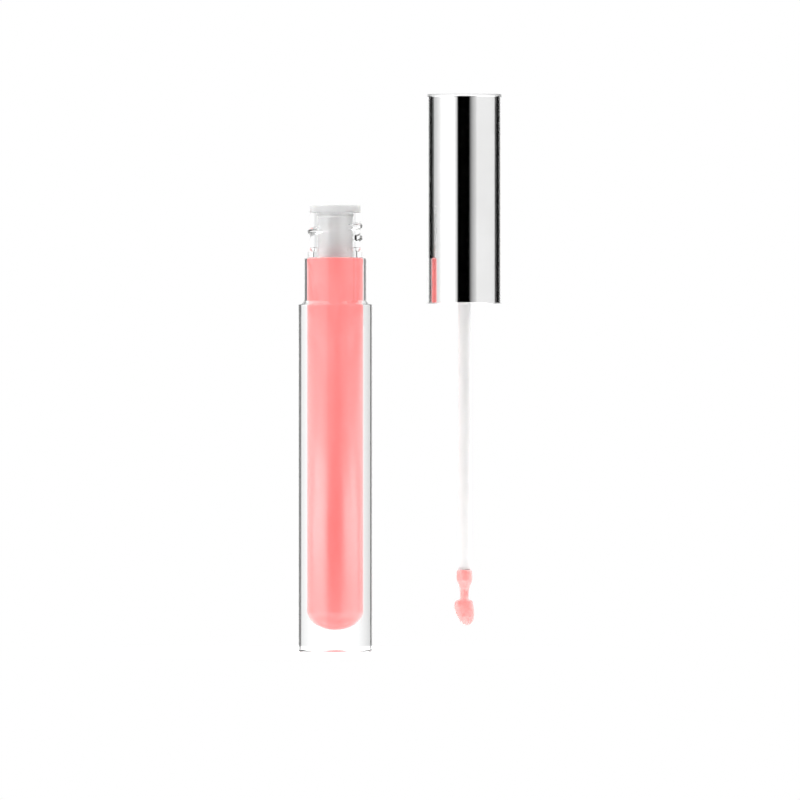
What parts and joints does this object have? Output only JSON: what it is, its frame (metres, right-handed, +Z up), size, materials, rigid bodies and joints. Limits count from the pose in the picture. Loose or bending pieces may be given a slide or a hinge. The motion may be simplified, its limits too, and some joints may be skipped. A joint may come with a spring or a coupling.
{
  "type": "lip gloss tube",
  "caption": "Round clear lip gloss bottle, open, with its wiper and gloss, and beside it the mirror-sleeved cap with wand and doe-foot applicator.",
  "frame": {"origin": "centre of the bottle's base, on the surface that the bottle stands on", "axes": "+Z up along the bottle's axis, +X from the bottle towards the cap's side, +Y away from the viewer"},
  "size_m": [0.0437, 0.022, 0.1195],
  "materials": {
    "clear_bottle": "clear, polished, thick-walled",
    "wiper_plastic": "satin, slightly translucent",
    "gloss": "glossy, translucent pink liquid",
    "liner_foam": "matte foamed sheet",
    "clear_overshell": "clear, polished, thin",
    "mirror_coat": "plastic with a vacuum-metallised mirror coat",
    "insert_plastic": "satin moulded",
    "wand_plastic": "satin, translucent white",
    "applicator": "short flock wet with gloss"
  },
  "bodies": {
    "bottle": {"bottle": "clear_bottle", "wiper": "wiper_plastic", "gloss_fill": "gloss"},
    "cap_seal": {"cap_liner": "liner_foam"},
    "applicator": {"cap_overshell": "clear_overshell", "cap_sleeve": "mirror_coat", "cap_insert": "insert_plastic", "wand": "wand_plastic", "applicator_tip": "applicator"}
  },
  "joints": [
    {"name": "applicator_lift", "type": "slide", "parent": "bottle", "child": "cap_seal", "axis": [0, 0, 1], "range_m": [0, 0.092]},
    {"name": "cap_turn", "type": "hinge", "parent": "cap_seal", "child": "applicator", "pos_m": [0.0277, -0.006, 0.075], "axis": [0, 0, 1], "continuous": true}
  ]
}
